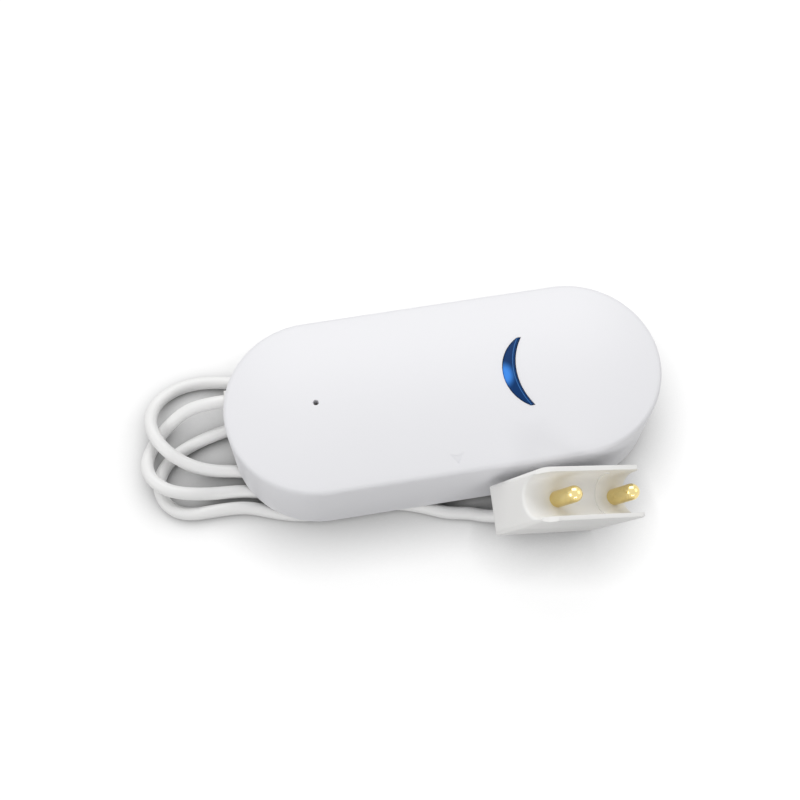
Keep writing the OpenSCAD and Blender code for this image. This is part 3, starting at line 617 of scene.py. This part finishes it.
# %% [markdown]
# ## The circuit board
# A board is glass cloth under green lacquer, with copper tracks that show through as a paler
# green, and tan cut edges. A brick pattern with thin joints makes believable square-cornered
# tracks, and small Voronoi dots make the tinned holes. The cut edge is told by its upright faces.

# %% Make the board finish
def board_material():
    made = bpy.data.materials.new("board_green")
    made.use_nodes = True
    n, link = made.node_tree.nodes, made.node_tree.links
    shader = n["Principled BSDF"]
    place = n.new("ShaderNodeTexCoord")
    tracks, dots = n.new("ShaderNodeTexBrick"), n.new("ShaderNodeTexVoronoi")
    for key, value in (("Color1", (0.012, 0.11, 0.045, 1)), ("Color2", (0.01, 0.095, 0.04, 1)),
                       ("Mortar", (0.03, 0.2, 0.08, 1)), ("Scale", 220.0), ("Mortar Size", 0.035),
                       ("Brick Width", 0.9), ("Row Height", 0.28)):
        tracks.inputs[key].default_value = value
    dots.inputs["Scale"].default_value = 420.0
    dots.inputs["Randomness"].default_value = 0.55
    hole = n.new("ShaderNodeMath")
    upright, flat = n.new("ShaderNodeNewGeometry"), n.new("ShaderNodeSeparateXYZ")
    hole.operation = "LESS_THAN"
    hole.inputs[1].default_value = 0.13
    size, edge = n.new("ShaderNodeMath"), n.new("ShaderNodeMath")
    size.operation, edge.operation = "ABSOLUTE", "LESS_THAN"
    edge.inputs[1].default_value = 0.5
    tinned, cut = n.new("ShaderNodeMix"), n.new("ShaderNodeMix")
    tinned.data_type = cut.data_type = "RGBA"
    tinned.inputs["B"].default_value = (0.6, 0.58, 0.5, 1)
    cut.inputs["B"].default_value = (0.42, 0.36, 0.2, 1)
    rough = n.new("ShaderNodeMapRange")
    rough.inputs["To Min"].default_value, rough.inputs["To Max"].default_value = 0.3, 0.5
    for picture in (tracks, dots):
        link.new(place.outputs["Object"], picture.inputs["Vector"])
    link.new(dots.outputs["Distance"], hole.inputs[0])
    link.new(upright.outputs["Normal"], flat.inputs[0])
    link.new(flat.outputs["Z"], size.inputs[0])
    link.new(size.outputs[0], edge.inputs[0])
    link.new(hole.outputs[0], tinned.inputs["Factor"])
    link.new(tracks.outputs["Color"], tinned.inputs["A"])
    link.new(tinned.outputs["Result"], cut.inputs["A"])
    link.new(edge.outputs[0], cut.inputs["Factor"])
    link.new(cut.outputs["Result"], shader.inputs["Base Color"])
    link.new(edge.outputs[0], rough.inputs["Value"])
    link.new(rough.outputs["Result"], shader.inputs["Roughness"])
    relief = n.new("ShaderNodeBump")
    relief.inputs["Strength"].default_value = 0.4
    relief.inputs["Distance"].default_value = 2e-5
    link.new(tracks.outputs["Fac"], relief.inputs["Height"])
    link.new(relief.outputs["Normal"], shader.inputs["Normal"])
    return made


board_green = board_material()
wire_red = plastic("wire_insulation", (0.5, 0.025, 0.02), (0.4, 0.018, 0.015), 0.35, 0.45, drift=120.0)
wire_black = plastic("wire_black", (0.03, 0.03, 0.03), (0.02, 0.02, 0.02), 0.35, 0.45, drift=120.0)
print("board and wires", board_green.name, wire_red.name, wire_black.name)

# %% [markdown]
# ## Dressing the solids
# A finish is put on a solid through its material slots, which leaves the mesh as it is. A short
# table of finish and solids is easier to read and to change than a line for every solid. The rim
# of the crescent is softened by a Bevel modifier.

# %% Put the finishes on
def dress(solid, *made):
    solid.data.materials.clear()
    for material in made:
        solid.data.materials.append(material)


FINISHES = {
    case_white: ["front_cover", "base_shell"],
    probe_white: ["probe_shell", "probe_cap"],
    rubber_white: ["cord_gland", "probe_boot"],
    cord_white: ["sensor_cord"],
    lens_blue: ["crescent_lens"],
    pin_gold: ["probe_pin_left", "probe_pin_right"],
    contact_steel: ["contact_bridge", "contact_plate", "spring_front", "spring_rear"],
    screw_steel: ["board_screws"],
    module_can: ["wifi_module"],
    chip_black: ["board_parts"],
    capacitor: ["bulk_capacitor"],
    switch: ["reset_switch"],
    cell_front: ["battery_front"],
    cell_rear: ["battery_rear"],
    board_green: ["main_board"],
    wire_red: ["lead_wires"],
    led_clear: ["status_led"],
    plunger_cream: ["reset_plunger"],
    connector_cream: ["cord_connector"],
    resin_dark: ["probe_seal"],
}
for material, names in FINISHES.items():
    for name in names:
        dress(nodes[name], material)
dress(cord, cord_white)
lens_edge = nodes["crescent_lens"].modifiers.new("edge", "BEVEL")
lens_edge.width = 0.24 * MM
lens_edge.segments = 3
lens_edge.use_clamp_overlap = False
lens_edge.limit_method = "ANGLE"
lens_edge.angle_limit = math.radians(40)
print("dressed", sum(len(v) for v in FINISHES.values()), "solids")

# %% [markdown]
# ## Lead wires
# Two thin insulated wires run from the cord's end to the connector under the board, one red and
# one black. They are small cords with both ends held, so the same bevelled curve makes them.

# %% Lay the lead wires
WIRE_R = 0.36
RED_WIRE = [(-30.4, 8.5, 5.5), (-29.7, 8.5, 5.5), (-28.5, 7.1, 5.8), (-28.5, 4.6, 6.4), (-28.6, 2.4, 7.1),
            (-29.6, 0.8, 8.5), (-29.6, 0.8, 9.7)]
BLACK_WIRE = [(-30.4, 9.5, 5.5), (-29.5, 9.5, 5.5), (-28.5, 8.1, 6.9), (-28.5, 4.6, 7.7), (-29.5, 2.1, 8.1),
              (-31, 0.8, 8.5), (-31, 0.8, 9.7)]
for name, route, skin in (("red_wire", RED_WIRE, wire_red), ("black_wire", BLACK_WIRE, wire_black)):
    wire = bevelled_curve(name, relaxed(through(route, 8), 4, 3), WIRE_R * MM, 3)
    dress(wire, skin)
    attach(wire, "base")
    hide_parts("lead_wires")
    print(name, len(wire.data.polygons), "faces")

# %% [markdown]
# ## Battery springs
# Each cell is pressed by a conical coil of plated wire. A coil follows a rule, which is what
# Geometry Nodes are good at: a Spiral curve carries a round profile, with the number of turns, the
# two radii, the length and the wire as named inputs, so both springs share one tree.

# %% Wind the springs
def spring_tree():
    tree = bpy.data.node_groups.new("conical_spring", "GeometryNodeTree")
    for name, kind in (("Turns", "Float"), ("Base radius", "Float"), ("Tip radius", "Float"),
                       ("Length", "Float"), ("Wire radius", "Float"), ("Place", "Vector"),
                       ("Turn", "Vector"), ("Finish", "Material")):
        tree.interface.new_socket(name, in_out="INPUT", socket_type="NodeSocket" + kind)
    tree.interface.new_socket("Spring", in_out="OUTPUT", socket_type="NodeSocketGeometry")
    n, link = tree.nodes, tree.links
    start, end = n.new("NodeGroupInput"), n.new("NodeGroupOutput")
    coil, ring, wire = n.new("GeometryNodeCurveSpiral"), n.new("GeometryNodeCurvePrimitiveCircle"), n.new(
        "GeometryNodeCurveToMesh")
    coil.inputs["Resolution"].default_value = 40
    ring.inputs["Resolution"].default_value = 12
    wire.inputs["Fill Caps"].default_value = True
    put, real, paint = n.new("GeometryNodeTransform"), n.new("GeometryNodeRealizeInstances"), n.new(
        "GeometryNodeSetMaterial")
    link.new(start.outputs["Turns"], coil.inputs["Rotations"])
    link.new(start.outputs["Base radius"], coil.inputs["Start Radius"])
    link.new(start.outputs["Tip radius"], coil.inputs["End Radius"])
    link.new(start.outputs["Length"], coil.inputs["Height"])
    link.new(start.outputs["Wire radius"], ring.inputs["Radius"])
    link.new(coil.outputs[0], wire.inputs["Curve"])
    link.new(ring.outputs[0], wire.inputs["Profile Curve"])
    link.new(wire.outputs[0], put.inputs["Geometry"])
    link.new(start.outputs["Place"], put.inputs["Translation"])
    link.new(start.outputs["Turn"], put.inputs["Rotation"])
    link.new(put.outputs[0], real.inputs[0])
    link.new(real.outputs[0], paint.inputs["Geometry"])
    link.new(start.outputs["Finish"], paint.inputs["Material"])
    link.new(paint.outputs[0], end.inputs["Spring"])
    return tree


# %% Make the springs
def from_tree(name, tree, values):
    """A plain mesh made by a Geometry Nodes tree with the given inputs."""
    maker = bpy.data.objects.new(name + "_maker", bpy.data.meshes.new(name + "_maker"))
    bpy.context.scene.collection.objects.link(maker)
    modifier = maker.modifiers.new("make", "NODES")
    modifier.node_group = tree
    for key, value in values.items():
        set_input(modifier, key, value)
    return as_mesh(maker, name)


springs = spring_tree()
WIND = {"Turns": 4.0, "Base radius": 3.4 * MM, "Tip radius": 2.2 * MM, "Length": 4.9 * MM,
        "Wire radius": 0.3 * MM, "Finish": contact_steel}
for name, place, turn in (("front", (-26.3, -5.6, 9.35), math.pi / 2),
                          ("rear", (23.1, 5.6, 9.35), -math.pi / 2)):
    spring = from_tree("coil_" + name, springs,
                       {**WIND, "Place": [v * MM for v in place], "Turn": (0, turn, 0)})
    spring.data.shade_smooth()
    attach(spring, "base")
    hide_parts("spring_" + name)
    print(spring.name, len(spring.data.polygons), "faces,", [round(v * 1000, 2) for v in spring.dimensions])

# %% [markdown]
# ## Repeated small hardware
# Four board screws, the legs of the large chip and the tinned pads along the radio module are each
# one small shape repeated in a straight row. One tree does them all: a line of points, the shape
# on every point, made real and given its finish.

# %% Build the row tree
def row_tree():
    tree = bpy.data.node_groups.new("row_of_shapes", "GeometryNodeTree")
    for name, kind in (("Shape", "Object"), ("Count", "Int"), ("First", "Vector"), ("Step", "Vector"),
                       ("Finish", "Material")):
        tree.interface.new_socket(name, in_out="INPUT", socket_type="NodeSocket" + kind)
    tree.interface.new_socket("Row", in_out="OUTPUT", socket_type="NodeSocketGeometry")
    n, link = tree.nodes, tree.links
    start, end = n.new("NodeGroupInput"), n.new("NodeGroupOutput")
    line, shape, copies = n.new("GeometryNodeMeshLine"), n.new("GeometryNodeObjectInfo"), n.new(
        "GeometryNodeInstanceOnPoints")
    real, paint = n.new("GeometryNodeRealizeInstances"), n.new("GeometryNodeSetMaterial")
    link.new(start.outputs["Count"], line.inputs["Count"])
    link.new(start.outputs["First"], line.inputs["Start Location"])
    link.new(start.outputs["Step"], line.inputs["Offset"])
    link.new(start.outputs["Shape"], shape.inputs["Object"])
    link.new(line.outputs[0], copies.inputs["Points"])
    link.new(shape.outputs["Geometry"], copies.inputs["Instance"])
    link.new(copies.outputs[0], real.inputs[0])
    link.new(real.outputs[0], paint.inputs["Geometry"])
    link.new(start.outputs["Finish"], paint.inputs["Material"])
    link.new(paint.outputs[0], end.inputs["Row"])
    return tree


rows = row_tree()
print("tree", rows.name)


# %% Helpers for small shapes
def small_shape(name, faces, corners):
    mesh = bpy.data.meshes.new(name)
    mesh.from_pydata([Vector(c) * MM for c in corners], [], faces)
    sheet = bmesh.new()
    sheet.from_mesh(mesh)
    bmesh.ops.remove_doubles(sheet, verts=sheet.verts, dist=1e-7)
    bmesh.ops.recalc_face_normals(sheet, faces=sheet.faces)
    sheet.to_mesh(mesh)
    sheet.free()
    shape = bpy.data.objects.new(name, mesh)
    bpy.context.scene.collection.objects.link(shape)
    return shape


def hardware_row(name, shape, count, first, step, finish, stands_for=None):
    row = from_tree(name, rows, {"Shape": shape, "Count": count, "First": [v * MM for v in first],
                                 "Step": [v * MM for v in step], "Finish": finish})
    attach(row, "base")
    if stands_for:
        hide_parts(stands_for)
    return row


# %% Screws with a cross recess
def screw_shape():
    """A pan head with a sunk cross, on a plain shank; the cross is a star-shaped ring of corners."""
    rings = [(0.8, -3.3, 24), (0.8, 0, 24), (1.4, 0, 24), (1.4, 0.36, 24), (1.22, 0.6, 24), (0.95, 0.7, 24)]
    corners = [(r * math.cos(2 * math.pi * k / c), r * math.sin(2 * math.pi * k / c), z)
               for r, z, c in rings for k in range(c)]
    star = [0.72 if k % 6 == 0 else 0.66 if k % 6 in (1, 5) else 0.26 for k in range(24)]
    for z, shrink in ((0.7, 1.0), (0.3, 0.82)):
        corners += [(s * shrink * math.cos(2 * math.pi * k / 24),
                     s * shrink * math.sin(2 * math.pi * k / 24), z) for k, s in enumerate(star)]
    last = len(rings) + 1
    faces = [(i * 24 + k, i * 24 + (k + 1) % 24, (i + 1) * 24 + (k + 1) % 24, (i + 1) * 24 + k)
             for i in range(last) for k in range(24)]
    faces += [tuple(reversed(range(24))), tuple(last * 24 + k for k in range(24))]
    return small_shape("screw", faces, corners)


BOARD_TOP = 15.9
screw = screw_shape()
for name, x, y in (("screws_left", -30.5, 4.5), ("screws_right", 29.4, 6)):
    row = hardware_row(name, screw, 2, (x, -y, BOARD_TOP), (0, 2 * y, 0), screw_steel,
                       "board_screws")
    print(row.name, len(row.data.polygons), "faces")
bpy.data.objects.remove(screw)

# %% Chip legs and module pads
def bent_leg(side):
    """A gull-wing leg: out of the chip, down and along the board."""
    path = [(-0.1, 0.5), (0.25, 0.5), (0.45, 0.06), (0.85, 0.06)]
    corners = [(w, side * y, z + t) for w in (-0.12, 0.12) for t in (0, 0.12) for y, z in path]
    faces = []
    for k in range(3):
        faces += [(k, k + 1, 5 + k, 4 + k), (8 + k, 12 + k, 13 + k, 9 + k), (k, 8 + k, 9 + k, k + 1),
                  (4 + k, 5 + k, 13 + k, 12 + k)]
    faces += [(0, 4, 12, 8), (3, 11, 15, 7)]
    return small_shape("leg", faces, corners)


def half_pad(side):
    """A tinned pad that wraps over the edge of the module's plate, rounded at its inner end."""
    rim = [(-0.42, 0.0), (-0.42, -0.7), (-0.25, -0.95), (0, -1.05), (0.25, -0.95), (0.42, -0.7), (0.42, 0.0)]
    corners = [(x, side * y, z) for z in (0.0, 0.04) for x, y in rim]
    faces = [tuple(range(7)), tuple(range(7, 14))]
    faces += [(k, (k + 1) % 7, 7 + (k + 1) % 7, 7 + k) for k in range(7)]
    return small_shape("pad", faces, corners)


MODULE_TOP = 16.7
LEG_PITCH, PAD_PITCH = 0.6, 1.27
for side, word in ((-1, "front"), (1, "rear")):
    leg, pad = bent_leg(side), half_pad(side)
    legs = hardware_row("chip_legs_" + word, leg, 7, (18.44, side * 3, BOARD_TOP), (LEG_PITCH, 0, 0),
                        contact_steel)
    pads = hardware_row("module_pads_" + word, pad, 8, (-14.4, side * 8, MODULE_TOP), (PAD_PITCH, 0, 0),
                        pin_gold)
    print(legs.name, len(legs.data.polygons), "faces;", pads.name, len(pads.data.polygons), "faces")
    bpy.data.objects.remove(leg)
    bpy.data.objects.remove(pad)

# %% [markdown]
# ## Floor and light
# The photograph has a white ground with only a soft shadow close to the object, and the light
# comes from above and behind, so the top is brightest along its far side and the front wall lies
# in shade. A pale floor takes the real shadow; for camera, mirror and see-through rays it also
# glows a little, which lifts the open ground to white without putting more light on the object.
# The glow is dimmed by ambient occlusion near the object: painted shade over the real contact shadow.

# %% The floor's finish
def seen_directly(n, link):
    """One for rays from the camera, from mirrors and through glass, nought for the light itself."""
    path = n.new("ShaderNodeLightPath")
    first, both = n.new("ShaderNodeMath"), n.new("ShaderNodeMath")
    first.operation = both.operation = "MAXIMUM"
    link.new(path.outputs["Is Camera Ray"], first.inputs[0])
    link.new(path.outputs["Is Glossy Ray"], first.inputs[1])
    link.new(first.outputs[0], both.inputs[0])
    link.new(path.outputs["Is Transmission Ray"], both.inputs[1])
    return both.outputs[0]


def floor_material():
    made = bpy.data.materials.new("pale_floor")
    made.use_nodes = True
    n, link = made.node_tree.nodes, made.node_tree.links
    shader = n["Principled BSDF"]
    shader.inputs["Base Color"].default_value = (0.34, 0.34, 0.34, 1)
    shader.inputs["Roughness"].default_value = 0.9
    shader.inputs["Specular IOR Level"].default_value = 0.0
    # Painted shade: ambient occlusion near the object dims the floor's glow, so the ground round it darkens.
    near = n.new("ShaderNodeAmbientOcclusion")
    near.inputs["Distance"].default_value = 11 * MM
    glow_dimmed_by_painted_shade = n.new("ShaderNodeMapRange")
    glow_dimmed_by_painted_shade.inputs["From Min"].default_value = 0.2
    glow_dimmed_by_painted_shade.inputs["To Max"].default_value = 0.75
    glow = n.new("ShaderNodeMath")
    glow.operation = "MULTIPLY"
    shader.inputs["Emission Color"].default_value = (1, 1, 1, 1)
    link.new(near.outputs["AO"], glow_dimmed_by_painted_shade.inputs["Value"])
    link.new(seen_directly(n, link), glow.inputs[0])
    link.new(glow_dimmed_by_painted_shade.outputs["Result"], glow.inputs[1])
    link.new(glow.outputs[0], shader.inputs["Emission Strength"])
    return made


# %% Helpers for the floor and the lamps
def plane(name, size, height):
    mesh = bpy.data.meshes.new(name)
    h = size / 2
    mesh.from_pydata([(-h, -h, height), (h, -h, height), (h, h, height), (-h, h, height)], [], [(0, 1, 2, 3)])
    piece = bpy.data.objects.new(name, mesh)
    bpy.context.scene.collection.objects.link(piece)
    return piece


def softbox(name, place, aim, size, power):
    data = bpy.data.lights.new(name, "AREA")
    data.shape = "RECTANGLE"
    data.size, data.size_y = size
    data.energy = power
    lamp = bpy.data.objects.new(name, data)
    bpy.context.scene.collection.objects.link(lamp)
    lamp.location = place
    lamp.rotation_euler = (Vector(aim) - Vector(place)).to_track_quat("-Z", "Y").to_euler()
    return lamp


# %% Set up the floor, the lamps and the sky
floor = plane("floor", 6.0, 0.0)
floor.data.materials.append(floor_material())

softbox("back_key", (0.08, 0.54, 0.56), (0, 0, 0.02), (0.7, 0.5), 2.75)
softbox("left_fill", (-0.6, -0.2, 0.35), (0, 0, 0.02), (0.4, 0.4), 1.1)
softbox("right_fill", (0.6, 0.0, 0.35), (0, 0, 0.02), (0.4, 0.4), 0.45)
softbox("front_strip", (0.05, -0.7, 0.27), (0, 0, 0.02), (0.5, 0.04), 0.7)

world = bpy.data.worlds.new("soft_sky")
bpy.context.scene.world = world
world.use_nodes = True
sky = world.node_tree.nodes["Background"]
sky.inputs["Color"].default_value = (1, 1, 1, 1)
level = world.node_tree.nodes.new("ShaderNodeMapRange")
level.inputs["To Min"].default_value, level.inputs["To Max"].default_value = 0.53, 1.0
world.node_tree.links.new(seen_directly(world.node_tree.nodes, world.node_tree.links), level.inputs["Value"])
world.node_tree.links.new(level.outputs["Result"], sky.inputs["Strength"])
bpy.context.scene.view_settings.view_transform = "Standard"
